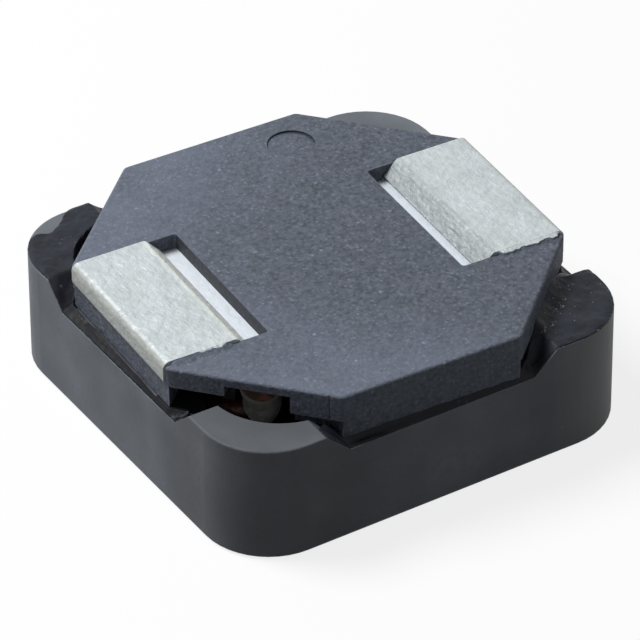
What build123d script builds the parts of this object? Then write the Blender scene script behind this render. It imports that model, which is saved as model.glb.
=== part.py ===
"""Shielded surface-mount power inductor, lying on its flat ferrite face, solder side up.

A drum core carries one enamelled wire and hangs under a moulded base plate, into
which the two folded terminals are moulded.  That sub-assembly sits in the bore of
a square ferrite ring, whose four corner lugs stand round the plate.  The origin is
on the resting face, in the middle of the ring; millimetres throughout.
"""
from build123d import *
import os
from math import atan2, cos, hypot, pi, radians, sin, sqrt, tan

# Shield core: a square ring with a round bore and four corner lugs
side = 12.0               # outer side of the square
corner_radius = 1.9       # upright outer corners
lug_rise = 0.63           # lug top above the notch floor
shield_wall = 0.70        # thinnest wall, at the middle of each side
lug_arc_radius = 1.95     # inner face of a lug, seen from above
lug_arc_depth = 0.60      # that face runs on below the notch floor, clear of the leads
lug_slope_run = 0.70      # length of the slope at each end of a lug
notch_turn = -1.0         # notches between the lugs, askew to the square, degrees
foot_round = 0.14         # rounded lower outside edge
lug_edge_round = 0.06     # broken edge round a lug's top

# Drum core: two flanges on a post
bore_gap = 0.35           # air gap between a flange and the bore
drum_recess = 0.12        # lower flange above the resting face
flange_thickness = 0.68
notch_width = 1.7         # lead notches in the upper flange
notch_round = 0.20        # their inner corners

# Winding: one round enamelled wire, two rows high and three layers deep
wire_diameter = 0.85
wire_gap = 0.02           # between neighbouring turns
layers = 3
rows = 2
turns = 4.5
window_clearance = 0.05   # between the turns and the core, each side
flange_margin = 0.14      # outermost turn inside the flange's rim
step_turns = 0.20         # part of a turn in which the wire steps to its next place
lead_proud = 0.08         # upright part of a lead beyond the drum's rim
lead_bend = 0.50          # radius of the bend from the turns up into a lead
lead_tilt_bend = 0.45     # radius of the bend outwards above it
lead_lean = 30            # lean of a lead's end from upright, degrees
lead_shift = -0.20        # lead's middle from the middle of the corner
lead_end = 0.30           # rise from the last bend to the slanted cut, on the middle line
lead_cut_slope = 12       # of the cut, outwards, degrees
lead_cut_tilt = 20        # and sideways

# Base plate: an octagonal moulding with a rim that stands over the ring
plate_inset = 0.18        # plate's flats inside the shield's sides
plate_flat = 5.14         # length of each of the four long sides
plate_thickness = 0.77
plate_round = 0.24        # upright corners of the octagon
plate_edge_round = 0.09   # top edges
notch_clearance = 0.17    # plate's corner to a lug's slope
lug_clearance = 0.50      # plate's chamfer to the middle of a lug's inner face
rim_depth = 0.50          # rim below the underside of the plate
rim_clearance = 0.12      # rim to the drum's upper flange
rim_corner_inset = 0.42   # rim's chamfers inside the plate's, clear of the lugs
skirt_inset = 0.07        # lower part of the two terminal sides
lip_height = 0.48         # full-width part of those sides
opening_margin = 0.03     # gap in the rim at a lead, short of the chamfer's far end
opening_rise = 0.20       # gap runs this far up into the plate
niche_width = 1.71        # taller part of that gap, round the lead itself
niche_clearance = 0.10    # its back wall to the lead
niche_shift = 0.045       # its middle from the middle of the chamfer
niche_over_lead = 0.70    # niche above the cut end of the lead
ejector_diameter = 1.30
ejector_depth = 0.05
ejector_x = 1.75
ejector_y = 4.55

# Terminals: tinned sheet folded round a bar of the plate
sheet = 0.15
pad_proud = 0.10          # pad above the plate
terminal_length = 4.92    # along the plate's side
leg_proud = 0.05          # outer leg beyond the plate's side
clip_height = 0.69        # underside of the lower leaf to the pad
bend_radius = 0.05        # inside of each fold
slot_inner = 2.84         # slot's inner wall from the middle of the part
slot_width = 0.61         # lower leaf left open in the slot
slot_end_gap = 0.01       # slot beyond each end of the terminal
slot_round = 0.10
inner_leg_run = 0.36      # inner leg: from its fold, sideways
inner_leg_gap = 0.02      # its end above the lower leaf
leaf_anchor = 0.45        # lower leaf held in the plastic, beyond the slot
tab_width = 1.0           # tongue of the leaf that the lead is soldered to

# Adhesive and solder
film = 0.05               # drum core to base plate
rim_glue = 0.14           # rim to notch floor
rim_glue_inset = 0.16     # bead held back from the rim's outer edge
bore_glue_depth = 0.55    # ring of adhesive in the gap at the hidden face
glue_film = 0.07          # corner glue: on the lug
glue_bare_left = 0.50     # strip of the left lug that stays bare
glue_bare_right = 0.06
glue_rise = 0.24          # above the lug, at the chamfer
glue_fillet = 0.40        # its slope down to the film
glue_depth = 0.38         # down into the gap between chamfer and lug
solder_coat = 0.07
coat_start = 0.5          # coat on a lead begins at this part of its lower bend

# The drum, wire and plate were glued in as one, a little turned in the ring
core_turn = -2.9          # degrees

# Worked out from the sizes above
bore_radius = side / 2 - shield_wall
flange_radius = bore_radius - bore_gap
pitch = wire_diameter + wire_gap
post_radius = flange_radius - flange_margin - layers * pitch - window_clearance
window_height = rows * pitch + 2 * window_clearance
drum_height = 2 * flange_thickness + window_height
drum_top = drum_recess + drum_height
window_floor = drum_recess + flange_thickness
window_top = window_floor + window_height
plate_under = drum_top + film
plate_top = plate_under + plate_thickness
rim_bottom = plate_under - rim_depth
ledge_height = rim_bottom - rim_glue         # notch floor between the lugs
lug_top = ledge_height + lug_rise
plate_half = side / 2 - plate_inset
flat_half = plate_flat / 2
chamfer_distance = (plate_half + flat_half) / sqrt(2)
chamfer_half = (plate_half - flat_half) / sqrt(2)
askew = radians(abs(core_turn - notch_turn))  # plate against the notches
corner_reach = plate_half * sin(askew) + flat_half * cos(askew)
notch_half = corner_reach + notch_clearance - rim_glue * lug_slope_run / lug_rise
lug_start = notch_half + lug_slope_run        # start of a lug's flat top, from a side's middle
pad_top = plate_top + pad_proud
pad_under = pad_top - sheet
leaf_under = pad_top - clip_height
leaf_top = leaf_under + sheet
leg_inside = plate_half + leg_proud - sheet
inner_leg_foot = slot_inner + slot_width     # inside corner of its end
inner_leg_end = leaf_top + inner_leg_gap
lead_radius = flange_radius - wire_diameter / 2 + lead_proud
lead_level = window_floor + window_clearance + wire_diameter / 2 + (rows - 1) * pitch
lead_foot = lead_level + lead_bend + lead_tilt_bend * sin(radians(lead_lean))
lead_foot_radius = lead_radius + lead_tilt_bend * (1 - cos(radians(lead_lean)))
lead_cut_height = lead_foot + lead_end
niche_top = lead_cut_height + niche_over_lead
niche_inner = lead_radius - wire_diameter / 2 - niche_clearance
FRONT, BACK, LEFT, RIGHT = 225, 45, 135, 315     # corners, degrees from +X


def corner_frame(angle):
    """Frame on the axis whose X points to a corner and whose Y runs along its chamfer."""
    return Location((0, 0, 0), (0, 0, angle))


def block(x0, x1, y0, y1, z0, z1):
    """Box between two corners."""
    centre = ((x0 + x1) / 2, (y0 + y1) / 2, (z0 + z1) / 2)
    return Pos(*centre) * Box(x1 - x0, y1 - y0, z1 - z0)


def octagon(inset=0.0):
    """The plate's outline, moved in by inset."""
    half = plate_half - inset
    flat = flat_half - inset * (sqrt(2) - 1)
    corners = [(flat, half), (half, flat), (half, -flat), (flat, -half),
               (-flat, -half), (-half, -flat), (-half, flat), (-flat, half)]
    face = make_face(Polyline(*corners, close=True))
    return fillet(face.vertices(), plate_round)


def lug_recess(angle):
    """Cut for one lug's inner face, clear of the plate's chamfer."""
    middle = Pos(chamfer_distance + lug_clearance - lug_arc_radius, 0, ledge_height - lug_arc_depth)
    return corner_frame(angle) * middle * extrude(Circle(lug_arc_radius), lug_arc_depth + lug_rise + 1)


def shield_core():
    square = RectangleRounded(side, side, corner_radius)
    ring = extrude(square, lug_top)
    notch = Polyline((-notch_half, ledge_height), (notch_half, ledge_height),
                     (lug_start, lug_top), (lug_start, lug_top + 1),
                     (-lug_start, lug_top + 1), (-lug_start, lug_top), close=True)
    across = extrude(Plane.XZ * make_face(notch), side, both=True)
    for turn in (notch_turn, notch_turn + 90):
        ring -= Rot(0, 0, turn) * across
    for angle in (FRONT, BACK, LEFT, RIGHT):
        ring -= lug_recess(angle)
    ring -= Cylinder(bore_radius, 3 * lug_top)
    tops = ring.faces().filter_by(Axis.Z).sort_by(Axis.Z)[-4:]
    ring = fillet(tops.edges(), lug_edge_round)
    outer = ring.faces().sort_by(Axis.Z)[0].outer_wire().edges()
    return fillet(outer, foot_round)


def lead_notch(angle):
    """Cut for one lead in the drum's upper flange."""
    depth = lead_radius - wire_diameter / 2 - solder_coat - window_clearance
    cut = block(depth, flange_radius + 1, -notch_width / 2, notch_width / 2,
                window_top - 0.5, drum_top + 1)
    cut = fillet(cut.edges().filter_by(Axis.Z).sort_by(Axis.X)[:2], notch_round)
    return corner_frame(angle) * cut


def drum_core():
    section = Polyline((0, drum_recess), (flange_radius, drum_recess),
                       (flange_radius, window_floor), (post_radius, window_floor),
                       (post_radius, window_top), (flange_radius, window_top),
                       (flange_radius, drum_top), (0, drum_top), close=True)
    face = make_face(section)
    roots = face.vertices().filter_by(lambda v: abs(v.X - post_radius) < 1e-6)
    face = fillet(roots, window_clearance)
    drum = revolve(Plane.XZ * face, Axis.Z)
    for angle in (FRONT, BACK):
        drum -= lead_notch(angle)
    return drum


def lane(layer, row):
    """Radius and height of the wire's middle in one place of the window."""
    radius = post_radius + window_clearance + wire_diameter / 2 + layer * pitch
    height = window_floor + window_clearance + wire_diameter / 2 + row * pitch
    return radius, height


def lead_place(angle, out, along, height):
    """Point near a corner: out from the axis, along the chamfer, and up."""
    return (corner_frame(angle) * Pos(out, lead_shift + along, height)).position


def lead_axis(angle):
    """Foot and unit direction of a lead's straight, leaning end."""
    foot = lead_place(angle, lead_foot_radius, 0, lead_foot)
    over = lead_place(angle, lead_foot_radius + tan(radians(lead_lean)), 0, lead_foot + 1)
    return foot, (over - foot).normalized()


def lead_bends(angle):
    """The two bends from the turns up to a lead's foot, and the point where they start."""
    direction = 1 if angle == BACK else -1
    start = lead_place(angle, lead_radius, direction * lead_bend, lead_level)
    upright = lead_place(angle, lead_radius, 0, lead_level + lead_bend)
    along = lead_place(angle, lead_radius, 0, lead_level) - start
    foot = lead_axis(angle)[0]
    return [TangentArc(start, upright, tangent=along), TangentArc(upright, foot, tangent=(0, 0, 1))], start


def beyond_cut(angle):
    """Block beyond the slanted cut at the end of a lead."""
    foot, way = lead_axis(angle)
    outward = Vector(cos(radians(angle)), sin(radians(angle)), 0)
    sideways = Vector(-outward.Y, outward.X, 0)
    normal = outward * tan(radians(lead_cut_slope)) + sideways * tan(radians(lead_cut_tilt)) + Vector(0, 0, 1)
    middle = foot + way * (lead_end / way.Z)
    return Plane(origin=middle, z_dir=normal) * Pos(0, 0, 1) * Box(4, 4, 2)


def lead_bar(angle, radius):
    """Round bar along a lead's straight end, from its foot to the slanted cut."""
    foot, way = lead_axis(angle)
    length = lead_end + wire_diameter
    bar = Plane(origin=foot, z_dir=way) * Pos(0, 0, length / 2) * Cylinder(radius, length)
    return bar - beyond_cut(angle)


def lead_rod(angle, radius):
    """Round rod along the soldered stretch of a lead, from its lower bend to the slanted cut."""
    lower, upper = lead_bends(angle)[0]
    foot, way = lead_axis(angle)
    path = Wire([lower.trim(coat_start, 1), upper, Line(foot, foot + way * (lead_end + wire_diameter))])
    rod = sweep(Plane(origin=path @ 0, z_dir=path % 0) * Circle(radius), path=path)
    return rod - beyond_cut(angle)


def around(turn):
    """Direction of the wire after some turns from the back corner."""
    angle = radians(BACK) + 2 * pi * turn
    return Vector(-sin(angle), cos(angle), 0)


def crossing(start, end, start_way, end_way):
    """Smooth step of the wire between two places, each a radius, a height and a number of turns."""
    points = []
    for k in range(5):
        eased = 0.5 - 0.5 * cos(pi * k / 4)
        radius, height = (a + (b - a) * eased for a, b in zip(start[:2], end[:2]))
        angle = radians(BACK) + 2 * pi * (start[2] + (end[2] - start[2]) * k / 4)
        points.append(Vector(radius * cos(angle), radius * sin(angle), height))
    return Spline(*points, tangents=[start_way, end_way], tangent_scalars=[1, 1])


def wire_path():
    """Middle line of the wire: the upper row winds inwards and the lower row outwards."""
    lanes = [lane(k, rows - 1) for k in reversed(range(layers - 1))]
    lanes += [lane(k, 0) for k in range(layers)]
    back_bends, back_start = lead_bends(BACK)
    front_bends, front_start = lead_bends(FRONT)
    back_turn = atan2(lead_bend + lead_shift, lead_radius) / (2 * pi)
    front_turn = turns - atan2(lead_bend - lead_shift, lead_radius) / (2 * pi)
    first = back_turn + step_turns
    stay = (front_turn - first) / len(lanes)
    stops = [(hypot(back_start.X, back_start.Y), back_start.Z, back_turn)]
    stops += [(*place, first + k * stay) for k, place in enumerate(lanes)]
    stops.append((hypot(front_start.X, front_start.Y), front_start.Z, front_turn))
    edges = [*back_bends, crossing(stops[0], stops[1], around(0), around(first))]
    for here, there in zip(stops[1:], stops[2:]):
        radius, height, reached = here
        leaves = there[2] - step_turns
        edges.append(CenterArc((0, 0, height), radius, BACK + 360 * reached, 360 * (leaves - reached)))
        end_way = around(turns) if there is stops[-1] else around(there[2])
        edges.append(crossing((radius, height, leaves), there, around(leaves), end_way))
    return Wire([*edges, *front_bends])


def winding():
    path = wire_path()
    wire = sweep(Plane(origin=path @ 0, z_dir=path % 0) * Circle(wire_diameter / 2), path=path)
    for angle in (FRONT, BACK):
        wire += lead_bar(angle, wire_diameter / 2)
    return wire


def folded(inside):
    """Section of the sheet folded along the points of its inside line, material to the right."""
    points = [Vector(*p) for p in inside]
    steps = [(b - a).normalized() for a, b in zip(points, points[1:])]
    sides = [Vector(d.Y, -d.X) for d in steps]
    outside = [points[0] + sides[0] * sheet]
    for p, a, b in zip(points[1:-1], sides, sides[1:]):
        outside.append(p + (a + b) * (sheet / (1 + a.dot(b))))
    outside.append(points[-1] + sides[-1] * sheet)
    inner = FilletPolyline(*points, radius=bend_radius)
    outer = FilletPolyline(*outside, radius=bend_radius + sheet)
    ends = [Line(points[0], outside[0]), Line(points[-1], outside[-1])]
    return make_face([*inner.edges(), *outer.edges(), *ends])


def terminal():
    """Terminal on the +X side: leaf, outer leg, pad and inner leg from one strip."""
    section = folded([(slot_inner - leaf_anchor, leaf_top), (leg_inside, leaf_top), (leg_inside, pad_under),
                      (inner_leg_foot + inner_leg_run, pad_under), (inner_leg_foot, inner_leg_end)])
    strip = extrude(Plane.XZ * section, terminal_length / 2, both=True)
    # the tongue runs on to the lead and is notched to its solder coat
    reach = lead_radius * cos(radians(45))
    tongue = block(reach - tab_width / 2, reach + tab_width / 2, 0, reach + 0.4, leaf_under, leaf_top)
    tongue -= corner_frame(BACK) * block(lead_radius, side, -side, side, 0, 2 * pad_top)
    tongue -= lead_bar(BACK, wire_diameter / 2 + solder_coat)
    return strip + tongue


def slot_cut():
    """Slot beside the +X terminal, down to its lower leaf and out to its inner leg."""
    half = terminal_length / 2 + slot_end_gap
    fold = inner_leg_foot + inner_leg_run
    above = plate_top + sheet
    section = Polyline((slot_inner, leaf_top), (inner_leg_foot, leaf_top), (inner_leg_foot, inner_leg_end),
                       (fold, pad_under), (fold, above), (slot_inner, above), close=True)
    cut = extrude(Plane.XZ * make_face(section), half, both=True)
    return fillet(cut.edges().filter_by(Axis.Z).sort_by(Axis.X)[:2], slot_round)


def lead_opening(angle):
    """Gap in the rim at a lead, with the taller niche round the lead itself."""
    near = niche_shift + niche_width / 2
    far = opening_margin - chamfer_half
    gap = block(flange_radius, side, far, near, 0, plate_under + opening_rise)
    gap += block(niche_inner, side, niche_shift - niche_width / 2, near, 0, niche_top)
    return corner_frame(angle) * gap


def base_plate(terminals):
    plate = Pos(0, 0, plate_under) * extrude(octagon(), plate_thickness)
    plate = fillet(plate.faces().sort_by(Axis.Z)[-1].edges(), plate_edge_round)
    lobes = octagon(rim_corner_inset) + Rectangle(side, 2 * flat_half) + Rectangle(2 * flat_half, side)
    rim = Pos(0, 0, rim_bottom) * extrude(octagon() & lobes, plate_under - rim_bottom)
    rim -= Cylinder(flange_radius + rim_clearance, 3 * lug_top)
    plate += rim
    for sign in (-1, 1):
        x = sign * (plate_half - skirt_inset + 1)
        plate -= Pos(x, 0, plate_top - lip_height - 2) * Box(2, side, 4)
    for angle in (FRONT, BACK):
        plate -= lead_opening(angle)
    for turn in (0, 180):
        plate -= Rot(0, 0, turn) * slot_cut()
    for piece in terminals:
        plate -= piece
    plate -= Pos(ejector_x, ejector_y, plate_top) * Cylinder(ejector_diameter / 2, 2 * ejector_depth)
    return plate


def solder_joint(angle, strip):
    """Solder coat on a lead's end, with the pool that joins it to the terminal's tongue."""
    half = wire_diameter / 2
    pool = block(niche_inner, lead_radius, -half, half, lead_cut_height - half / 2, leaf_under)
    pool = Pos(0, lead_shift, 0) * pool
    joint = lead_rod(angle, half + solder_coat) + corner_frame(angle) * pool
    return joint - lead_rod(angle, half) - strip


def rim_adhesive(shield):
    """Glue under the plate's rim, on the notch floors, in the ring's frame."""
    bead = Pos(0, 0, ledge_height) * extrude(octagon(rim_glue_inset), rim_glue)
    bead = Rot(0, 0, core_turn) * bead - Cylinder(bore_radius, 3 * lug_top) - shield
    for angle in (FRONT, BACK, LEFT, RIGHT):
        bead -= lug_recess(angle)
    return bead


def corner_adhesive(angle, bare, plate, shield):
    """Glue from the plate's chamfer across the gap and in a thin film over one lug."""
    inner = chamfer_distance - glue_film
    film_top = lug_top + glue_film
    section = Polyline((inner, lug_top - glue_depth), (side, lug_top - glue_depth), (side, film_top),
                       (chamfer_distance + glue_fillet, film_top), (chamfer_distance, lug_top + glue_rise),
                       (inner, lug_top + glue_rise), close=True)
    wedge = extrude(Plane.XZ * make_face(section), side / 2, both=True)
    half = side / 2 - lug_edge_round
    lug = extrude(RectangleRounded(2 * half, 2 * half, corner_radius - lug_edge_round), 3 * lug_top)
    start = lug_start + lug_edge_round
    lug &= corner_frame(angle - 45 + notch_turn) * block(start, side / 2 - bare, start, side, 0, 3 * lug_top)
    return (corner_frame(angle) * wedge & lug) - plate - shield


def build():
    turned = Rot(0, 0, core_turn)
    strip = terminal()
    strips = {"terminal_1": Rot(0, 0, 180) * strip, "terminal_2": strip}
    wire = winding()
    plate = base_plate(strips.values())
    nodes = {
        "drum_core": turned * drum_core(),
        "winding": turned * wire,
        "base_plate": turned * plate,
        "terminal_1": turned * strips["terminal_1"],
        "terminal_2": turned * strips["terminal_2"],
        "solder_joint_1": turned * solder_joint(FRONT, strips["terminal_1"]),
        "solder_joint_2": turned * solder_joint(BACK, strips["terminal_2"]),
        "core_adhesive": Pos(0, 0, drum_top + film / 2) * Cylinder(post_radius, film),
    }
    nodes["shield_core"] = shield_core()
    nodes["rim_adhesive"] = rim_adhesive(nodes["shield_core"])
    ring = Cylinder(bore_radius, bore_glue_depth) - Cylinder(flange_radius, bore_glue_depth)
    nodes["bore_adhesive"] = Pos(0, 0, drum_recess + bore_glue_depth / 2) * ring
    held = nodes["base_plate"], nodes["shield_core"]
    nodes["corner_adhesive_1"] = corner_adhesive(LEFT, glue_bare_left, *held)
    nodes["corner_adhesive_2"] = corner_adhesive(RIGHT, glue_bare_right, *held)
    return nodes


os.makedirs("parts", exist_ok=True)
for name, shape in build().items():
    export_step(shape, "parts/" + name + ".step")
    size = shape.bounding_box().size
    print(name, "solids", len(shape.solids()), "volume", round(shape.volume, 3),
          "size", round(size.X, 2), round(size.Y, 2), round(size.Z, 2))
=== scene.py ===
"""Shielded surface-mount inductor on a pale floor: finishes, adhesive, burrs, light and camera."""
from math import cos, hypot, pi, radians, sin, sqrt, tan

import bmesh
import bpy
from mathutils import Matrix, Vector, noise


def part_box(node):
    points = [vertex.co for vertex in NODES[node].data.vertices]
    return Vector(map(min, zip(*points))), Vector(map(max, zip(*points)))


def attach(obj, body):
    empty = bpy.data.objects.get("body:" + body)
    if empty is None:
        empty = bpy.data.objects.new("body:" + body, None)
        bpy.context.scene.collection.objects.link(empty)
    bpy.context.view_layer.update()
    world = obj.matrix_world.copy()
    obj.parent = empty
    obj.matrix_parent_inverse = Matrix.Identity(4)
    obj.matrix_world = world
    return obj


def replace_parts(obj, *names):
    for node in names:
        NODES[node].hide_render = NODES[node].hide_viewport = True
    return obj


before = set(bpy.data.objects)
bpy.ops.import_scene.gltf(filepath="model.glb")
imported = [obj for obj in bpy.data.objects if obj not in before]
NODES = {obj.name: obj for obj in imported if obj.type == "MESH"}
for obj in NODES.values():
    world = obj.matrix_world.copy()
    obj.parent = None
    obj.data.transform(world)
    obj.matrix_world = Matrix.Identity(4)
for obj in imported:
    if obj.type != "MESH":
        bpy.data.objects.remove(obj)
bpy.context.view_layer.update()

MM = 0.001

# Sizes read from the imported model
SHIELD_LOW, SHIELD_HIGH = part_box("shield_core")
SIDE = SHIELD_HIGH.x - SHIELD_LOW.x
LUG_TOP = SHIELD_HIGH.z
PLATE_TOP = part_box("base_plate")[1].z

# Corners of the part, as directions from its middle
FRONT, BACK, LEFT, RIGHT = (radians(a) for a in (225, 45, 135, 315))

# Sizes of the ring that the dressed pieces follow
CORNER_RADIUS = 1.9 * MM
LEDGE = 2.73 * MM                 # height of the notch floors
NOTCH_TURN = radians(-1.0)
NOTCH_HALF = 2.776 * MM
SLOPE_RUN = 0.70 * MM             # of the slope at each end of a lug

# Sizes of the plate, in its own frame
CORE_TURN = radians(-2.9)         # drum, wire and plate sit a little turned in the ring
PLATE_HALF = 5.82 * MM
PLATE_FLAT_HALF = 2.57 * MM
PLATE_ROUND = 0.24 * MM           # between a side and a chamfer
SLOT_WALL = 2.84 * MM             # inner wall of a slot from the plate's middle
EJECTOR_AT = (1.75 * MM, 4.55 * MM)
EJECTOR_RADIUS = 0.65 * MM
CHAMFER_OUT = (PLATE_HALF + PLATE_FLAT_HALF) / sqrt(2)
CHAMFER_HALF = (PLATE_HALF - PLATE_FLAT_HALF) / sqrt(2)
STRAIGHT_HALF = CHAMFER_HALF - PLATE_ROUND * tan(pi / 8)
ROUND_RUN = PLATE_ROUND * pi / 4
LUG_ARC_RADIUS = 1.95 * MM        # of a lug's inner face
LUG_ARC_OUT = CHAMFER_OUT + 0.50 * MM - LUG_ARC_RADIUS

# Sizes of the terminals, in the plate's frame
INNER_FOLD = 3.81 * MM            # where a pad bends down to its inner leg
OUTER_FOLD = 5.74 * MM            # and to its outer leg
LEG_OUT = 5.80 * MM
LEAF_TOP = 3.70 * MM
PAD_HALF_LENGTH = 2.46 * MM

# Camera, fitted to the photograph's edges and corners
PHOTO_PIXELS = 640
CAMERA_AZIMUTH = radians(-32.26)
CAMERA_ELEVATION = radians(36.01)
CAMERA_ROLL = radians(-0.285)
CAMERA_DISTANCE = 150.8 * MM
CAMERA_AIM_HEIGHT = 1.913 * MM
FOCAL_PIXELS = 5822.0
PRINCIPAL_LEFT = 1.02             # pixels
SENSOR_WIDTH = 36.0


# Small helpers for shader trees

def colour(red, green, blue):
    """Linear colour with alpha from 0 to 255 screen values."""
    def linear(value):
        c = value / 255
        return c / 12.92 if c <= 0.04045 else ((c + 0.055) / 1.055) ** 2.4
    return (linear(red), linear(green), linear(blue), 1.0)


def fill(tree, made, inputs):
    """Sets a node's inputs; each name or number maps to a value or to another node's socket."""
    for name, value in inputs.items():
        if isinstance(value, bpy.types.NodeSocket):
            tree.links.new(value, made.inputs[name])
        else:
            made.inputs[name].default_value = value


def node(tree, kind, inputs=None, **settings):
    """Shader node of one kind with its settings and inputs."""
    made = tree.nodes.new("ShaderNode" + kind)
    for name, value in settings.items():
        setattr(made, name, value)
    fill(tree, made, inputs or {})
    return made


def maths(tree, operation, *values, clamp=False):
    """Result of one arithmetic step."""
    made = node(tree, "Math", dict(enumerate(values)), operation=operation, use_clamp=clamp)
    return made.outputs[0]


def blend(tree, share, first, second):
    """Colour between two colours."""
    made = node(tree, "Mix", {0: share, 6: first, 7: second}, data_type="RGBA")
    return made.outputs[2]


def tint(tree, tone, mask, share, over):
    """Tone with another colour laid over it, by a share of a mask."""
    return blend(tree, maths(tree, "MULTIPLY", mask, share), tone, over)


def between(tree, value, low, high, to_low=0.0, to_high=1.0):
    """Value mapped from one span to another, held at both ends."""
    made = node(tree, "MapRange", {0: value, 1: low, 2: high, 3: to_low, 4: to_high})
    return made.outputs[0]


def towards(tree, spot, corner):
    """Distance from the middle towards one corner, for a place split into x, y and z."""
    return maths(tree, "ADD", maths(tree, "MULTIPLY", spot[0], cos(corner)),
                 maths(tree, "MULTIPLY", spot[1], sin(corner)))


def split(tree, place, turn=0.0):
    """x, y and z of a place, in a frame turned about the upright axis."""
    if turn:
        place = node(tree, "Mapping", {"Vector": place, "Rotation": (0, 0, -turn)}).outputs[0]
    return node(tree, "SeparateXYZ", {0: place}).outputs


def shader_group(name, inputs, outputs):
    """Empty shader node group; an input is named with its value, or with None where it is a vector."""
    tree = bpy.data.node_groups.new(name, "ShaderNodeTree")
    for label, value in inputs.items():
        kind = "NodeSocketVector" if value is None else "NodeSocketFloat"
        socket = tree.interface.new_socket(label, in_out="INPUT", socket_type=kind)
        if value is not None:
            socket.default_value = value
    for label, kind in outputs.items():
        tree.interface.new_socket(label, in_out="OUTPUT", socket_type=kind)
    return tree, tree.nodes.new("NodeGroupInput").outputs, tree.nodes.new("NodeGroupOutput").inputs


def use_group(tree, group, inputs):
    """Outputs of a shader group used in a tree."""
    made = tree.nodes.new("ShaderNodeGroup")
    made.node_tree = group
    fill(tree, made, inputs)
    return made.outputs


# Effects that several finishes share

def make_specks():
    """Scattered bright grains: a share of small cells lights up near its middle."""
    tree, given, result = shader_group(
        "Filler specks", {"Place": None, "Spacing mm": 0.15, "Radius": 0.3, "Share": 0.3},
        {"Mask": "NodeSocketFloat"})
    scale = maths(tree, "DIVIDE", 1 / MM, given["Spacing mm"])
    cells = node(tree, "TexVoronoi", {"Vector": given["Place"], "Scale": scale, "Randomness": 1.0})
    pick = node(tree, "SeparateColor", {0: cells.outputs["Color"]}).outputs[0]
    lit = maths(tree, "LESS_THAN", pick, given["Share"])
    near = between(tree, cells.outputs["Distance"], given["Radius"], 0.0)
    strength = node(tree, "SeparateColor", {0: cells.outputs["Color"]}).outputs[1]
    tree.links.new(maths(tree, "MULTIPLY", maths(tree, "MULTIPLY", near, lit), strength), result["Mask"])
    return tree


def make_cloud():
    """Soft patches between 0 and 1 with a named size."""
    tree, given, result = shader_group(
        "Uneven tone", {"Place": None, "Size mm": 2.0, "Contrast": 1.0}, {"Mask": "NodeSocketFloat"})
    scale = maths(tree, "DIVIDE", 1 / MM, given["Size mm"])
    field = node(tree, "TexNoise", {"Vector": given["Place"], "Scale": scale, "Detail": 4.0, "Roughness": 0.55})
    spread = maths(tree, "MULTIPLY", maths(tree, "SUBTRACT", field.outputs[0], 0.5), given["Contrast"])
    tree.links.new(maths(tree, "ADD", maths(tree, "MULTIPLY", spread, 2.5), 0.5, clamp=True), result["Mask"])
    return tree


def make_grain():
    """Fine pressed or moulded grain as a height and as a tone."""
    tree, given, result = shader_group(
        "Fine grain", {"Place": None, "Size mm": 0.08},
        {"Height": "NodeSocketFloat", "Tone": "NodeSocketFloat"})
    scale = maths(tree, "DIVIDE", 1 / MM, given["Size mm"])
    fine = node(tree, "TexNoise", {"Vector": given["Place"], "Scale": scale, "Detail": 3.0, "Roughness": 0.7})
    coarse_scale = maths(tree, "MULTIPLY", scale, 0.23)
    coarse = node(tree, "TexNoise", {"Vector": given["Place"], "Scale": coarse_scale, "Detail": 2.0})
    both = maths(tree, "ADD", maths(tree, "MULTIPLY", fine.outputs[0], 0.65),
                 maths(tree, "MULTIPLY", coarse.outputs[0], 0.35))
    tree.links.new(both, result["Height"])
    tree.links.new(between(tree, fine.outputs[0], 0.35, 0.65), result["Tone"])
    return tree


def make_edges():
    """Mask of convex and concave edges within a named width, broken up by noise."""
    tree, given, result = shader_group(
        "Edge rub", {"Place": None, "Width mm": 0.06, "Break-up mm": 0.3}, {"Mask": "NodeSocketFloat"})
    radius = maths(tree, "MULTIPLY", given["Width mm"], MM)
    rounded = node(tree, "Bevel", {"Radius": radius}, samples=4)
    flat = node(tree, "NewGeometry")
    turn = node(tree, "VectorMath", {0: rounded.outputs[0], 1: flat.outputs["Normal"]}, operation="DOT_PRODUCT")
    edge = between(tree, turn.outputs["Value"], 0.995, 0.86)
    scale = maths(tree, "DIVIDE", 1 / MM, given["Break-up mm"])
    field = node(tree, "TexNoise", {"Vector": given["Place"], "Scale": scale, "Detail": 3.0})
    broken = between(tree, field.outputs[0], 0.38, 0.6)
    tree.links.new(maths(tree, "MULTIPLY", edge, broken), result["Mask"])
    return tree


SPECKS, CLOUD, GRAIN, EDGES = make_specks(), make_cloud(), make_grain(), make_edges()


def cloud_mask(tree, place, size, contrast):
    """Soft patches of a size in mm."""
    return use_group(tree, CLOUD, {"Place": place, "Size mm": size, "Contrast": contrast})["Mask"]


def speck_mask(tree, place, spacing, radius, share):
    """Scattered grains: spacing in mm, radius in spacings, and the share of cells that hold one."""
    given = {"Place": place, "Spacing mm": spacing, "Radius": radius, "Share": share}
    return use_group(tree, SPECKS, given)["Mask"]


def rub_mask(tree, place, width, break_up):
    """Rubbed edges of a width in mm, broken up at a size in mm."""
    return use_group(tree, EDGES, {"Place": place, "Width mm": width, "Break-up mm": break_up})["Mask"]


def fine_grain(tree, place, size):
    """Height and tone of a grain of a size in mm."""
    return use_group(tree, GRAIN, {"Place": place, "Size mm": size})


def new_material(name):
    """Material with an emptied tree, its shader and its object coordinates."""
    material = bpy.data.materials.new(name)
    material.use_nodes = True
    tree = material.node_tree
    tree.nodes.clear()
    shader = tree.nodes.new("ShaderNodeBsdfPrincipled")
    tree.links.new(shader.outputs[0], tree.nodes.new("ShaderNodeOutputMaterial").inputs[0])
    place = tree.nodes.new("ShaderNodeTexCoord").outputs["Object"]
    return material, tree, shader, place


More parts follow.
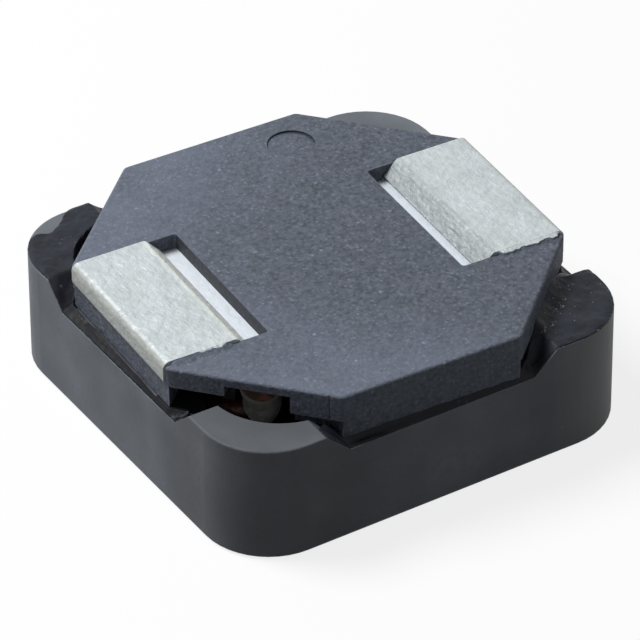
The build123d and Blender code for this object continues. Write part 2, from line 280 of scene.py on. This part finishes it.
def connect(tree, shader, base, roughness, height, depth_mm, **plain):
    """Wires colour, roughness and a bump of a named depth to the shader, and sets plain sockets."""
    tree.links.new(base, shader.inputs["Base Color"])
    tree.links.new(roughness, shader.inputs["Roughness"])
    bump = node(tree, "Bump", {"Height": height, "Strength": 1.0, "Distance": depth_mm * MM})
    tree.links.new(bump.outputs[0], shader.inputs["Normal"])
    for name, value in plain.items():
        shader.inputs[name.replace("_", " ")].default_value = value


# Finishes

TOP_SKIN = 0.06 * MM              # what lies this close to the plate's top counts as its upper face
SLOT_LIP = 0.03 * MM              # a slot's wall starts this far under the top
SLOT_WALL_SKIN = 0.012 * MM
EJECTOR_FLOOR_SKIN = 0.02 * MM
EJECTOR_SHADOW_WIDTH = 0.11 * MM          # width of the painted shadow along the ejector mark's edge
PALER_TO_LEFT = (1.0 * MM, 5.0 * MM)
# painted sheen towards the front corner
SHEEN_TO_FRONT = (1.5 * MM, 4.5 * MM)


def ejector_painted_shadow(tree, spot):
    """Mask of painted shadow in the ejector mark, along its edge towards the back corner."""
    off = [maths(tree, "SUBTRACT", spot[k], EJECTOR_AT[k]) for k in (0, 1)]
    squares = maths(tree, "ADD", maths(tree, "MULTIPLY", off[0], off[0]),
                    maths(tree, "MULTIPLY", off[1], off[1]))
    along_edge = between(tree, maths(tree, "SQRT", squares),
                         EJECTOR_RADIUS - EJECTOR_SHADOW_WIDTH, EJECTOR_RADIUS - 0.04 * MM)
    painted_shadow = maths(tree, "MULTIPLY", along_edge, between(tree, towards(tree, off, BACK), 0.10 * MM, 0.50 * MM))
    on_floor = maths(tree, "LESS_THAN", spot[2], PLATE_TOP - EJECTOR_FLOOR_SKIN)
    return maths(tree, "MULTIPLY", painted_shadow, on_floor)


def sheen_and_paler_mask(tree, place, spot):
    """Mask of the plate's upper face where it is paler: painted sheen towards the front corner, and an uneven
    paler patch towards the left corner.
    """
    paler = maths(tree, "MAXIMUM", between(tree, towards(tree, spot, LEFT), *PALER_TO_LEFT),
                  between(tree, towards(tree, spot, FRONT), *SHEEN_TO_FRONT))
    uneven = between(tree, cloud_mask(tree, place, 3.2, 1.0), 0.1, 0.7, 0.4, 1.0)
    on_top = maths(tree, "GREATER_THAN", spot[2], PLATE_TOP - TOP_SKIN)
    return maths(tree, "MULTIPLY", maths(tree, "MULTIPLY", paler, uneven), on_top)


def slot_wall_shade_mask(tree, spot):
    """Mask of the slots' inner walls, where shade is painted darker than the rest of the plate."""
    off_wall = maths(tree, "SUBTRACT", maths(tree, "ABSOLUTE", spot[0]), SLOT_WALL)
    at_wall = maths(tree, "LESS_THAN", maths(tree, "ABSOLUTE", off_wall), SLOT_WALL_SKIN)
    return maths(tree, "MULTIPLY", at_wall, maths(tree, "LESS_THAN", spot[2], PLATE_TOP - SLOT_LIP))


def moulded_plastic():
    """Mineral-filled moulding: blue-grey, mottled at a tenth of a millimetre, with bright grains, painted shade
    in the slots and the ejector mark, and painted sheen towards the front.
    """
    material, tree, shader, place = new_material("moulded_plastic")
    spot = split(tree, place, CORE_TURN)
    cloud = cloud_mask(tree, place, 1.5, 1.0)
    patches = cloud_mask(tree, place, 1.0, 1.2)
    mottle = cloud_mask(tree, place, 0.12, 1.0)
    grain = fine_grain(tree, place, 0.07)
    tone = blend(tree, cloud, colour(58, 65, 70), colour(68, 71, 84))
    # paler patch towards the left, and painted sheen towards the front
    tone = tint(tree, tone, sheen_and_paler_mask(tree, place, spot), 0.55, colour(124, 132, 150))
    tone = tint(tree, tone, patches, 0.30, colour(64, 69, 74))
    tone = tint(tree, tone, mottle, 0.64, colour(116, 123, 137))
    tone = tint(tree, tone, speck_mask(tree, place, 0.10, 0.55, 0.45), 0.60, colour(146, 154, 168))
    tone = tint(tree, tone, speck_mask(tree, place, 0.30, 0.22, 0.25), 0.60, colour(176, 186, 200))
    tone = tint(tree, tone, rub_mask(tree, place, 0.10, 0.35), 0.30, colour(124, 130, 144))
    # painted shade on the slots' inner walls
    tone = tint(tree, tone, slot_wall_shade_mask(tree, spot), 0.80, colour(44, 44, 44))
    # painted shadow along the ejector mark's far edge
    tone = tint(tree, tone, ejector_painted_shadow(tree, spot), 0.80, colour(36, 36, 44))
    rough = between(tree, cloud, 0.0, 1.0, 0.55, 0.66)
    height = maths(tree, "ADD", grain["Height"], maths(tree, "MULTIPLY", mottle, 0.4))
    connect(tree, shader, tone, rough, height, 0.03, Specular_IOR_Level=0.2)
    return material


FRONT_SHADE_SPAN = (5.2 * MM, 6.6 * MM)   # painted shade, darker towards the front corner
# painted light, paler towards the right corner
RIGHT_LIGHT_SPAN = (6.5 * MM, 7.4 * MM)


def ferrite(name, light, dark):
    """Pressed and ground ferrite between two tones, with painted shade towards the front corner and painted
    light towards the right corner.
    """
    material, tree, shader, place = new_material(name)
    spot = split(tree, place)
    grain = fine_grain(tree, place, 0.05)
    pits = speck_mask(tree, place, 0.24, 0.24, 0.20)
    tone = blend(tree, cloud_mask(tree, place, 1.8, 1.1), dark, light)
    tone = tint(tree, tone, cloud_mask(tree, place, 0.45, 0.9), 0.50, colour(82, 85, 90))
    tone = tint(tree, tone, grain["Tone"], 0.15, colour(126, 131, 138))
    tone = tint(tree, tone, pits, 0.35, colour(56, 56, 58))
    tone = tint(tree, tone, speck_mask(tree, place, 0.50, 0.10, 0.20), 0.50, colour(150, 156, 162))
    tone = tint(tree, tone, rub_mask(tree, place, 0.09, 0.5), 0.35, colour(150, 158, 168))
    # painted shade towards the front corner
    front_shade = between(tree, towards(tree, spot, FRONT), *FRONT_SHADE_SPAN)
    tone = tint(tree, tone, front_shade, 0.44, colour(54, 54, 54))
    # painted light towards the right corner
    right_light = between(tree, towards(tree, spot, RIGHT), *RIGHT_LIGHT_SPAN)
    tone = tint(tree, tone, right_light, 0.45, colour(170, 170, 166))
    rough = between(tree, grain["Tone"], 0.0, 1.0, 0.52, 0.64)
    height = maths(tree, "SUBTRACT", grain["Height"], maths(tree, "MULTIPLY", pits, 0.6))
    connect(tree, shader, tone, rough, height, 0.012, Specular_IOR_Level=0.2)
    return material


SCRATCH_TURN = radians(24)
SCRATCH_STRETCH = (1.0, 0.16, 1.0)


def matte_tin():
    """Matt tin plate: clean in the slots, dulled and scratched on the pads, greenish on the folds; painted
    shade on the outer legs, painted light on the left terminal's inner slope and painted shade on the right
    terminal's.
    """
    material, tree, shader, place = new_material("matte_tin")
    blotch = cloud_mask(tree, place, 0.22, 1.2)
    drawn = {"Vector": place, "Rotation": (0, 0, SCRATCH_TURN), "Scale": SCRATCH_STRETCH}
    scratches = cloud_mask(tree, node(tree, "Mapping", drawn).outputs[0], 0.07, 1.3)
    spot = split(tree, place, CORE_TURN)
    out = maths(tree, "ABSOLUTE", spot[0])
    outer_leg = between(tree, out, OUTER_FOLD, LEG_OUT)
    inward = between(tree, out, INNER_FOLD + 0.06 * MM, INNER_FOLD - 0.04 * MM)
    leaf = maths(tree, "MULTIPLY", inward, between(tree, spot[2], LEAF_TOP + 0.05 * MM, LEAF_TOP + 0.02 * MM))
    # inner slopes: greenish, with painted light on the left terminal's and painted shade on the right
    # terminal's
    slope = blend(tree, between(tree, spot[0], -MM, MM), colour(238, 242, 234), colour(128, 136, 136))
    tone = blend(tree, cloud_mask(tree, place, 0.8, 1.2), colour(186, 194, 196), colour(204, 211, 214))
    tone = tint(tree, tone, blotch, 0.40, colour(172, 179, 178))
    # painted shade: a duller tone on the outer legs
    tone = tint(tree, tone, outer_leg, 0.75, colour(152, 154, 146))
    tone = tint(tree, tone, inward, 0.75, slope)
    tone = tint(tree, tone, scratches, 0.20, colour(226, 232, 236))
    tone = tint(tree, tone, rub_mask(tree, place, 0.08, 0.3), 0.50, colour(224, 230, 233))
    tone = blend(tree, leaf, tone, colour(222, 229, 236))
    rough = between(tree, blotch, 0.0, 1.0, 0.44, 0.60)
    height = maths(tree, "ADD", fine_grain(tree, place, 0.09)["Height"], maths(tree, "MULTIPLY", blotch, 1.6))
    height = maths(tree, "ADD", height, maths(tree, "MULTIPLY", scratches, 0.25))
    height = maths(tree, "MULTIPLY", height, between(tree, leaf, 0.0, 1.0, 1.0, 0.35))
    connect(tree, shader, tone, rough, height, 0.013, Metallic=0.2, Specular_IOR_Level=0.35)
    return material


WIRE_BARE = (2.80 * MM, 2.95 * MM)        # the wire's cut end is bare above these heights


def enamelled_copper():
    """Brown enamel over copper, bare and bright where the end was cut."""
    material, tree, shader, place = new_material("enamelled_copper")
    cloud = cloud_mask(tree, place, 0.30, 1.3)
    grain = fine_grain(tree, place, 0.10)
    enamel = blend(tree, cloud, colour(60, 34, 26), colour(92, 50, 36))
    cut = blend(tree, between(tree, cloud, 0.45, 0.75), colour(176, 146, 130), colour(250, 176, 146))
    tone = blend(tree, between(tree, split(tree, place)[2], *WIRE_BARE), enamel, cut)
    rough = between(tree, grain["Tone"], 0.0, 1.0, 0.30, 0.44)
    connect(tree, shader, tone, rough, grain["Height"], 0.02, Metallic=0.15)
    return material


def dull_solder():
    """Dull pale solder, its tone raised near white as painted light on the joint in the shaded niche."""
    material, tree, shader, place = new_material("dull_solder")
    grain = fine_grain(tree, place, 0.09)
    # painted light: a near-white tone that stands in for the light the niche keeps off
    tone = blend(tree, cloud_mask(tree, place, 0.35, 1.3), colour(222, 220, 206), colour(240, 238, 226))
    rough = between(tree, grain["Tone"], 0.0, 1.0, 0.42, 0.58)
    connect(tree, shader, tone, rough, grain["Height"], 0.03)
    return material


GLUE_SHADE_HEIGHTS = (3.20 * MM, 2.95 * MM)     # painted shade: black below these heights, grey on top of the lugs


def dark_adhesive():
    """Cured black epoxy, dusted with pale grains, with painted shade making it blacker low down."""
    material, tree, shader, place = new_material("dark_adhesive")
    cloud = cloud_mask(tree, place, 0.6, 1.1)
    dust = speck_mask(tree, place, 0.20, 0.26, 0.35)
    dusty = between(tree, cloud_mask(tree, place, 0.9, 1.3), 0.45, 0.8)
    tone = blend(tree, cloud, colour(30, 32, 38), colour(45, 48, 57))
    # painted shade on the glue below the lugs' tops
    tone = blend(tree, between(tree, split(tree, place)[2], *GLUE_SHADE_HEIGHTS, 0.0, 0.75), tone, colour(14, 14, 16))
    tone = tint(tree, tone, maths(tree, "MULTIPLY", dust, dusty), 0.70, colour(166, 170, 168))
    rough = between(tree, cloud, 0.0, 1.0, 0.40, 0.56)
    connect(tree, shader, tone, rough, fine_grain(tree, place, 0.14)["Height"], 0.015, Specular_IOR_Level=0.12)
    return material


def pale_crumb():
    """Crumbs of moulding compound, grey to pale."""
    material, tree, shader, place = new_material("pale_crumb")
    cloud = cloud_mask(tree, place, 0.10, 1.3)
    tone = blend(tree, cloud, colour(84, 86, 86), colour(158, 160, 154))
    rough = between(tree, cloud, 0.0, 1.0, 0.6, 0.8)
    connect(tree, shader, tone, rough, fine_grain(tree, place, 0.02)["Height"], 0.004)
    return material


PLASTIC = moulded_plastic()
FERRITE = ferrite("ferrite", colour(126, 132, 140), colour(92, 97, 104))
DRUM_FERRITE = ferrite("drum_ferrite", colour(70, 71, 74), colour(60, 61, 64))
TIN = matte_tin()
COPPER = enamelled_copper()
SOLDER = dull_solder()
ADHESIVE = dark_adhesive()
CRUMB = pale_crumb()

FINISHES = {"shield_core": FERRITE, "drum_core": DRUM_FERRITE, "base_plate": PLASTIC,
            "terminal_1": TIN, "terminal_2": TIN, "winding": COPPER,
            "solder_joint_1": SOLDER, "solder_joint_2": SOLDER,
            "core_adhesive": ADHESIVE, "rim_adhesive": ADHESIVE, "bore_adhesive": ADHESIVE,
            "corner_adhesive_1": ADHESIVE, "corner_adhesive_2": ADHESIVE}
for name, finish in FINISHES.items():
    NODES[name].data.materials.clear()
    NODES[name].data.materials.append(finish)


# Adhesive, flash and burrs along the plate's outline

GLUE_TUCK = 0.10 * MM             # pieces run in under the plate's side
GLUE_SUNK = 0.05 * MM             # and down into the ring
GLUE_BARE = 0.02 * MM             # bare ground stands this far above them
GLUE_DEPTH = 0.36 * MM            # in the gap between a lug and the plate's chamfer
GLUE_SPACING = 0.045 * MM         # of a piece's rows along the outline
EDGE_KEEP = 0.03 * MM             # glue ends inside the ring's upright faces
ROUND_STEPS = 14                  # rows round a corner of the plate
SHARP_ANGLE = radians(50)


def smooth(value, low, high):
    """Eased share of the way from low to high."""
    share = min(max((value - low) / (high - low), 0.0), 1.0)
    return share * share * (3 - 2 * share)


def lumps(place, size, seed):
    """Soft noise from -1 to 1 with a named size of lump."""
    return noise.noise(Vector((place.x / size, place.y / size, seed)))


def ring_top(place):
    """Height of the ring's upper face: lug top, slope or notch floor."""
    height = LUG_TOP
    turned = Matrix.Rotation(-NOTCH_TURN, 2) @ place
    for across in turned:
        share = min(max((abs(across) - NOTCH_HALF) / SLOPE_RUN, 0.0), 1.0)
        height = min(height, LEDGE + (LUG_TOP - LEDGE) * share)
    return height


def inside_edge(place):
    """Distance from a place in to the ring's outline, seen from above."""
    half = SIDE / 2 - CORNER_RADIUS
    x, y = abs(place.x) - half, abs(place.y) - half
    return CORNER_RADIUS - hypot(max(x, 0.0), max(y, 0.0)) - min(max(x, y), 0.0)


def plate_outline(corner, run):
    """Place on the plate's outline, a run from the middle of one chamfer, and the way straight out."""
    side = 1 if run >= 0 else -1
    beyond = max(abs(run) - STRAIGHT_HALF, 0.0)
    angle = min(beyond / PLATE_ROUND, pi / 4)
    further = max(beyond - ROUND_RUN, 0.0)
    way = Vector((cos(angle), side * sin(angle)))
    place = Vector((CHAMFER_OUT - PLATE_ROUND, side * min(abs(run), STRAIGHT_HALF))) + way * PLATE_ROUND
    place += Vector((-sin(angle), side * cos(angle))) * further
    turn = Matrix.Rotation(corner + CORE_TURN, 2)
    return turn @ place, turn @ way


def reach_to_edge(place, way):
    """Distance along a way to the ring's outline, less the strip kept clear."""
    low, high = 0.0, SIDE / 3
    for _ in range(30):
        middle = (low + high) / 2
        if inside_edge(place + way * middle) > EDGE_KEEP:
            low = middle
        else:
            high = middle
    return low


def outline_runs(start, end, spacing):
    """Runs along the outline, close together round the plate's corners."""
    runs = [start]
    while runs[-1] < end:
        at_corner = STRAIGHT_HALF - spacing < abs(runs[-1]) < STRAIGHT_HALF + ROUND_RUN
        runs.append(runs[-1] + (ROUND_RUN / ROUND_STEPS if at_corner else spacing))
    return runs


def closed_strip(name, finish, rings):
    """Piece whose skin joins rings of places one after another, with a cap at both ends."""
    count = len(rings[0])
    mesh = bpy.data.meshes.new(name)
    shell = bmesh.new()
    rows = [[shell.verts.new(place) for place in ring] for ring in rings]
    for here, there in zip(rows, rows[1:]):
        for k in range(count):
            shell.faces.new((here[k - 1], here[k], there[k], there[k - 1]))
    caps = [shell.faces.new(rows[0]), shell.faces.new(rows[-1])]
    bmesh.ops.triangulate(shell, faces=caps)
    bmesh.ops.recalc_face_normals(shell, faces=shell.faces)
    shell.to_mesh(mesh)
    shell.free()
    mesh.shade_smooth()
    mesh.set_sharp_from_angle(angle=SHARP_ANGLE)
    mesh.materials.append(finish)
    piece = bpy.data.objects.new(name, mesh)
    bpy.context.scene.collection.objects.link(piece)
    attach(piece, "root")
    return piece


def glue_sheet(name, corner, start, end, thickness, across):
    """Lumpy adhesive from the plate's side to the ring's edge, between two runs along the outline in mm.

    thickness(run, out, place) is its depth; across counts its steps outwards.
    """
    arc_middle = Vector((LUG_ARC_OUT * cos(corner), LUG_ARC_OUT * sin(corner)))
    rings = []
    for run in outline_runs(start * MM, end * MM, GLUE_SPACING):
        foot, way = plate_outline(corner, run)
        reach = reach_to_edge(foot, way)
        steps = [-GLUE_TUCK + (reach + GLUE_TUCK) * k / across for k in range(across + 1)]
        upper, lower = [], []
        for out in [*steps, reach + EDGE_KEEP / 2]:
            place = foot + way * out
            ground = ring_top(place)
            in_gap = (place - arc_middle).length < LUG_ARC_RADIUS
            base = LUG_TOP - GLUE_DEPTH if in_gap else ground - GLUE_SUNK
            top = ground - GLUE_SUNK / 3 if out > reach else ground + thickness(run, out, place)
            upper.append((place.x, place.y, max(top, base + GLUE_SUNK / 5)))
            lower.append((place.x, place.y, base))
        rings.append(upper + lower[::-1])
    return closed_strip(name, ADHESIVE, rings)


def film(place, thickness, *waves):
    """Thickness of a lumpy film, in mm; each wave is a height, a size and a seed."""
    return (thickness + sum(height * lumps(place, size * MM, seed) for height, size, seed in waves)) * MM


def rounded_off(place, width):
    """Share of a film's thickness left where it rounds off towards the ring's edge."""
    return sqrt(min(max(inside_edge(place) / width, 0.0), 1.0))


def rise_at_plate(out, height, width):
    """Glue drawn up against the plate's side."""
    return height * max(1 - max(out, 0.0) / width, 0.0) ** 2


def laid(thickness, covered):
    """Film where the ground is covered, and sunk out of sight where it is bare."""
    return thickness * covered - GLUE_BARE * (1 - covered)


CREVICE_MIDDLE = 0.35 * MM        # along the left chamfer
CREVICE_HALF = 1.05 * MM
CREVICE_OUT = 0.47 * MM           # from the plate, at the crevice's middle
CREVICE_DEPTH = 0.50 * MM


def left_shore(x):
    """Where the glue ends on the left lug, as y over x, in mm."""
    return 5.33 + 0.74 * smooth(x, -4.95, -3.70) + 0.10 * smooth(-x, 4.75, 5.4)


def left_glue(run, out, place):
    """Glue at the left corner: thick at the far end, a crevice beside the plate, the lug's far edge bare."""
    depth = film(place, 0.07, (0.04, 0.5, 3.0), (0.015, 0.16, 8.0))
    depth += 0.06 * MM * smooth(-run, 1.3 * MM, 1.9 * MM)
    depth += rise_at_plate(out, 0.10 * MM, 0.30 * MM)
    depth *= rounded_off(place, 0.16 * MM)
    span = min(abs(run - CREVICE_MIDDLE) / CREVICE_HALF, 1.0)
    depth -= CREVICE_DEPTH * smooth(CREVICE_OUT * sqrt(1 - span ** 2) - out, 0.0, 0.12 * MM)
    wander = 0.07 * MM * lumps(place, 0.3 * MM, 5.0)
    covered = smooth(left_shore(place.x / MM) * MM + wander - place.y, -0.03 * MM, 0.05 * MM)
    return laid(depth, covered)


def right_glue(run, out, place):
    """Glue at the right corner: all over the lug and down both of its slopes."""
    depth = max(film(place, 0.05, (0.05, 0.6, 13.0), (0.02, 0.2, 18.0)), 0.015 * MM)
    depth += rise_at_plate(out, 0.20 * MM, 0.40 * MM)
    return depth * rounded_off(place, 0.20 * MM)


def notch_glue(run, out, place):
    """Glue squeezed out along a notch floor and up a lug's slope, which leaves the lug's top bare."""
    depth = film(place, 0.05, (0.03, 0.4, 61.0)) + rise_at_plate(out, 0.12 * MM, 0.20 * MM)
    depth *= rounded_off(place, 0.10 * MM)
    wander = 0.03 * MM * lumps(place, 0.2 * MM, 65.0)
    covered = smooth(LUG_TOP - ring_top(place) + wander, 0.03 * MM, 0.10 * MM)
    return laid(depth, covered)


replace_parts(glue_sheet("corner_glue_left", LEFT, -2.30, 7.25, left_glue, across=38), "corner_adhesive_1")
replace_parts(glue_sheet("corner_glue_right", RIGHT, -2.8, 4.6, right_glue, across=38), "corner_adhesive_2")
glue_sheet("notch_glue_1", FRONT, -2.9, -1.75, notch_glue, across=24)
glue_sheet("notch_glue_2", FRONT, 1.75, 7.3, notch_glue, across=24)


# Pale crumbs of moulding compound caught in the glue

def crumb_scatter():
    """Geometry nodes: crumbs of uneven size scattered over a surface, which itself is left out."""
    tree = bpy.data.node_groups.new("Crumb scatter", "GeometryNodeTree")
    sockets = {"Surface": "NodeSocketGeometry", "Crumbs per square metre": "NodeSocketFloat",
               "Least radius": "NodeSocketFloat", "Most radius": "NodeSocketFloat",
               "Seed": "NodeSocketInt", "Finish": "NodeSocketMaterial"}
    for label, kind in sockets.items():
        tree.interface.new_socket(label, in_out="INPUT", socket_type=kind)
    tree.interface.new_socket("Crumbs", in_out="OUTPUT", socket_type="NodeSocketGeometry")
    given = tree.nodes.new("NodeGroupInput").outputs
    points = tree.nodes.new("GeometryNodeDistributePointsOnFaces")
    ball = tree.nodes.new("GeometryNodeMeshIcoSphere")
    ball.inputs["Subdivisions"].default_value = 2
    ball.inputs["Radius"].default_value = 1.0
    size = tree.nodes.new("FunctionNodeRandomValue")
    place = tree.nodes.new("GeometryNodeInstanceOnPoints")
    solid = tree.nodes.new("GeometryNodeRealizeInstances")
    finish = tree.nodes.new("GeometryNodeSetMaterial")
    for start, end in ((given["Surface"], points.inputs["Mesh"]),
                       (given["Crumbs per square metre"], points.inputs["Density"]),
                       (given["Seed"], points.inputs["Seed"]),
                       (given["Least radius"], size.inputs[2]),
                       (given["Most radius"], size.inputs[3]),
                       (given["Seed"], size.inputs["Seed"]),
                       (points.outputs["Points"], place.inputs["Points"]),
                       (ball.outputs["Mesh"], place.inputs["Instance"]),
                       (size.outputs[1], place.inputs["Scale"]),
                       (place.outputs["Instances"], solid.inputs["Geometry"]),
                       (solid.outputs["Geometry"], finish.inputs["Geometry"]),
                       (given["Finish"], finish.inputs["Material"]),
                       (finish.outputs["Geometry"], tree.nodes.new("NodeGroupOutput").inputs["Crumbs"])):
        tree.links.new(start, end)
    return tree


CRUMB_KEEP = 0.05 * MM            # crumbs keep clear of the ring's edge
PATCH_SPACING = 0.1 * MM
PATCH_STEPS = 12
CRUMB_SCATTER = crumb_scatter()


def surface_patch(corner, start, end, least, most, thickness):
    """Open mesh over part of a glue sheet, for scattering on; the runs and the distances out are in mm."""
    rows = []
    for run in outline_runs(start * MM, end * MM, PATCH_SPACING):
        foot, way = plate_outline(corner, run)
        furthest = min(most * MM, reach_to_edge(foot, way) - CRUMB_KEEP)
        row = []
        for k in range(PATCH_STEPS + 1):
            out = least * MM + (furthest - least * MM) * k / PATCH_STEPS
            place = foot + way * out
            row.append((place.x, place.y, ring_top(place) + thickness(run, out, place)))
        rows.append(row)
    width = PATCH_STEPS + 1
    faces = []
    for r in range(len(rows) - 1):
        for k in range(PATCH_STEPS):
            first = r * width + k
            faces.append((first, first + 1, first + width + 1, first + width))
    mesh = bpy.data.meshes.new("crumb_surface")
    mesh.from_pydata([place for row in rows for place in row], [], faces)
    return mesh


def crumbs(name, surface, density, least, most, seed):
    """Crumbs scattered on a surface: how many per square metre, and their least and most radius in mm."""
    piece = bpy.data.objects.new(name, surface)
    bpy.context.scene.collection.objects.link(piece)
    scatter = piece.modifiers.new("scatter", "NODES")
    scatter.node_group = CRUMB_SCATTER
    settings = {"Crumbs per square metre": density, "Least radius": least * MM, "Most radius": most * MM,
                "Seed": seed, "Finish": CRUMB}
    for item in CRUMB_SCATTER.interface.items_tree:
        if item.item_type == "SOCKET" and item.in_out == "INPUT" and item.name in settings:
            scatter[item.identifier] = settings[item.name]
    shown = piece.evaluated_get(bpy.context.evaluated_depsgraph_get())
    piece.data = bpy.data.meshes.new_from_object(shown)
    piece.modifiers.clear()
    piece.data.shade_smooth()
    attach(piece, "root")


crumbs("crumbs_right", surface_patch(RIGHT, -1.1, 1.3, 0.10, 0.50, right_glue),
       3.6e7, 0.006, 0.040, seed=7)
crumbs("crumbs_right_far", surface_patch(RIGHT, -1.4, 1.6, 0.30, 1.30, right_glue),
       6.0e6, 0.005, 0.018, seed=12)
crumbs("crumbs_left", surface_patch(LEFT, -1.5, 1.8, 0.45, 1.0, left_glue),
       3.0e6, 0.004, 0.012, seed=5)


# Plastic flash and tin burrs at the pads' near ends

STRIP_STEPS = 60
STRIP_END_STEPS = 5               # over which a strip swells from nothing


def pad_end_strip(name, finish, sign, start, end, section):
    """Ragged strip along the near end of a pad, from start to end in mm; section(x) gives places out and up."""
    turn = Matrix.Rotation(CORE_TURN, 3, "Z")
    start, end = start * MM, end * MM
    rings = []
    for k in range(STRIP_STEPS + 1):
        x = start + (end - start) * k / STRIP_STEPS
        ends = smooth(k, 0, STRIP_END_STEPS) * smooth(STRIP_STEPS - k, 0, STRIP_END_STEPS)
        rings.append([turn @ Vector((sign * x, -PAD_HALF_LENGTH - out, up)) for out, up in section(x, ends)])
    closed_strip(name, finish, rings)


def flash_section(seed):
    """Skin of plastic that climbs to the pad's end."""
    def section(x, ends):
        place = Vector((x, 0.0))
        width = film(place, 0.20, (0.08, 0.3, seed)) * (0.3 + 0.7 * ends)
        rise = film(place, 0.088, (0.008, 0.2, seed + 5)) * ends
        low = PLATE_TOP - 0.03 * MM
        return [(-0.02 * MM, low), (-0.005 * MM, PLATE_TOP + rise), (0.3 * width, PLATE_TOP + 0.72 * rise),
                (0.7 * width, PLATE_TOP + 0.22 * rise), (width, PLATE_TOP - 0.004 * MM), (width, low)]
    return section


def burr_section(least, most, seed):
    """Torn edge of tin that stands out over the plastic, between two widths in mm."""
    def section(x, ends):
        place = Vector((x, 0.0))
        share = 0.5 + 0.5 * lumps(place, 0.34 * MM, seed) + 0.25 * lumps(place, 0.11 * MM, seed + 3)
        width = max(least + (most - least) * share, 0.01) * MM * ends + 0.004 * MM
        high = PLATE_TOP + 0.096 * MM
        low = PLATE_TOP + 0.02 * MM
        return [(-0.03 * MM, low), (-0.02 * MM, high), (0.55 * width, high - 0.006 * MM),
                (width, high - 0.03 * MM), (width, low)]
    return section


for number, sign, seed in ((1, -1, 21.0), (2, 1, 31.0)):
    pad_end_strip(f"moulding_flash_{number}", PLASTIC, sign, 3.84, 5.70, flash_section(seed))
pad_end_strip("tin_burr_1", TIN, -1, 4.05, 4.85, burr_section(-0.02, 0.10, 44.0))
pad_end_strip("tin_burr_2", TIN, 1, 3.90, 5.72, burr_section(0.04, 0.19, 54.0))


# Light, floor and camera

AMBIENT = (0.97, 0.98, 1.0, 1.0)
AMBIENT_LEVEL = 0.14
WHITE = (1.0, 1.0, 1.0, 1.0)
KEY_WAY = (-0.39, 0.38, 0.84)     # from the part to the lamp
KEY_DISTANCE = 0.16
KEY_SIZE = 0.07
KEY_LEVEL = 1.03
FLOOR_HALF = 1.5
FLOOR_DROP = 0.01 * MM
FLOOR_THROWN = (0.15, 0.15, 0.15, 1.0)    # what the floor throws up at the part
FLOOR_SEEN = (0.95, 0.95, 0.95, 1.0)
FLOOR_GLOW = 0.82                 # share of the floor's look that takes no shadow


def lamp(name, way, distance, size, level):
    """Round area lamp that lights a facing white surface to a named level."""
    data = bpy.data.lights.new(name, "AREA")
    data.shape = "DISK"
    data.size = size
    data.energy = level * pi ** 2 * distance ** 2
    holder = bpy.data.objects.new(name, data)
    way = Vector(way).normalized()
    holder.location = way * distance
    holder.rotation_mode = "QUATERNION"
    holder.rotation_quaternion = way.to_track_quat("Z", "Y")
    bpy.context.scene.collection.objects.link(holder)


def seen_directly(tree):
    """1 for camera, glossy and transmission rays, otherwise 0."""
    path = tree.nodes.new("ShaderNodeLightPath").outputs
    seen = maths(tree, "MAXIMUM", path["Is Camera Ray"], path["Is Glossy Ray"])
    return maths(tree, "MAXIMUM", seen, path["Is Transmission Ray"])


def studio():
    """White surroundings that throw little light of their own, and one lamp."""
    world = bpy.data.worlds.new("studio")
    world.use_nodes = True
    tree = world.node_tree
    tree.nodes.clear()
    ambient = node(tree, "Background", {"Color": AMBIENT, "Strength": AMBIENT_LEVEL})
    backdrop = node(tree, "Background", {"Color": WHITE, "Strength": 1.0})
    mixed = node(tree, "MixShader", {0: seen_directly(tree), 1: ambient.outputs[0], 2: backdrop.outputs[0]})
    node(tree, "OutputWorld", {"Surface": mixed.outputs[0]})
    bpy.context.scene.world = world
    lamp("key_lamp", KEY_WAY, KEY_DISTANCE, KEY_SIZE, KEY_LEVEL)


def pale_floor():
    """Large floor that looks white and keeps a faint shadow, but throws little light up."""
    mesh = bpy.data.meshes.new("floor")
    corners = [(x * FLOOR_HALF, y * FLOOR_HALF, 0) for x, y in ((-1, -1), (1, -1), (1, 1), (-1, 1))]
    mesh.from_pydata(corners, [], [(0, 1, 2, 3)])
    floor = bpy.data.objects.new("floor", mesh)
    floor.location.z = SHIELD_LOW.z - FLOOR_DROP
    bpy.context.scene.collection.objects.link(floor)
    material = bpy.data.materials.new("pale_floor")
    material.use_nodes = True
    tree = material.node_tree
    tree.nodes.clear()
    dull = node(tree, "BsdfDiffuse", {"Color": FLOOR_THROWN})
    white = node(tree, "BsdfDiffuse", {"Color": FLOOR_SEEN})
    glow = node(tree, "Emission", {"Color": WHITE, "Strength": 1.0})
    pale = node(tree, "MixShader", {0: FLOOR_GLOW, 1: white.outputs[0], 2: glow.outputs[0]})
    mixed = node(tree, "MixShader", {0: seen_directly(tree), 1: dull.outputs[0], 2: pale.outputs[0]})
    node(tree, "OutputMaterial", {"Surface": mixed.outputs[0]})
    mesh.materials.append(material)


def camera():
    """Camera where the photograph was taken from."""
    data = bpy.data.cameras.new("camera")
    data.sensor_width = SENSOR_WIDTH
    data.lens = FOCAL_PIXELS * SENSOR_WIDTH / PHOTO_PIXELS
    data.shift_x = PRINCIPAL_LEFT / PHOTO_PIXELS
    data.clip_start = 10 * MM
    data.clip_end = 10.0
    holder = bpy.data.objects.new("camera", data)
    back = Vector((sin(CAMERA_AZIMUTH) * cos(CAMERA_ELEVATION),
                   -cos(CAMERA_AZIMUTH) * cos(CAMERA_ELEVATION), sin(CAMERA_ELEVATION)))
    holder.location = Vector((0, 0, CAMERA_AIM_HEIGHT)) + back * CAMERA_DISTANCE
    holder.rotation_mode = "QUATERNION"
    level = back.to_track_quat("Z", "Y")
    holder.rotation_quaternion = level @ Matrix.Rotation(CAMERA_ROLL, 3, "Z").to_quaternion()
    bpy.context.scene.collection.objects.link(holder)
    bpy.context.scene.camera = holder


studio()
pale_floor()
camera()
bpy.context.scene.view_settings.view_transform = "Standard"
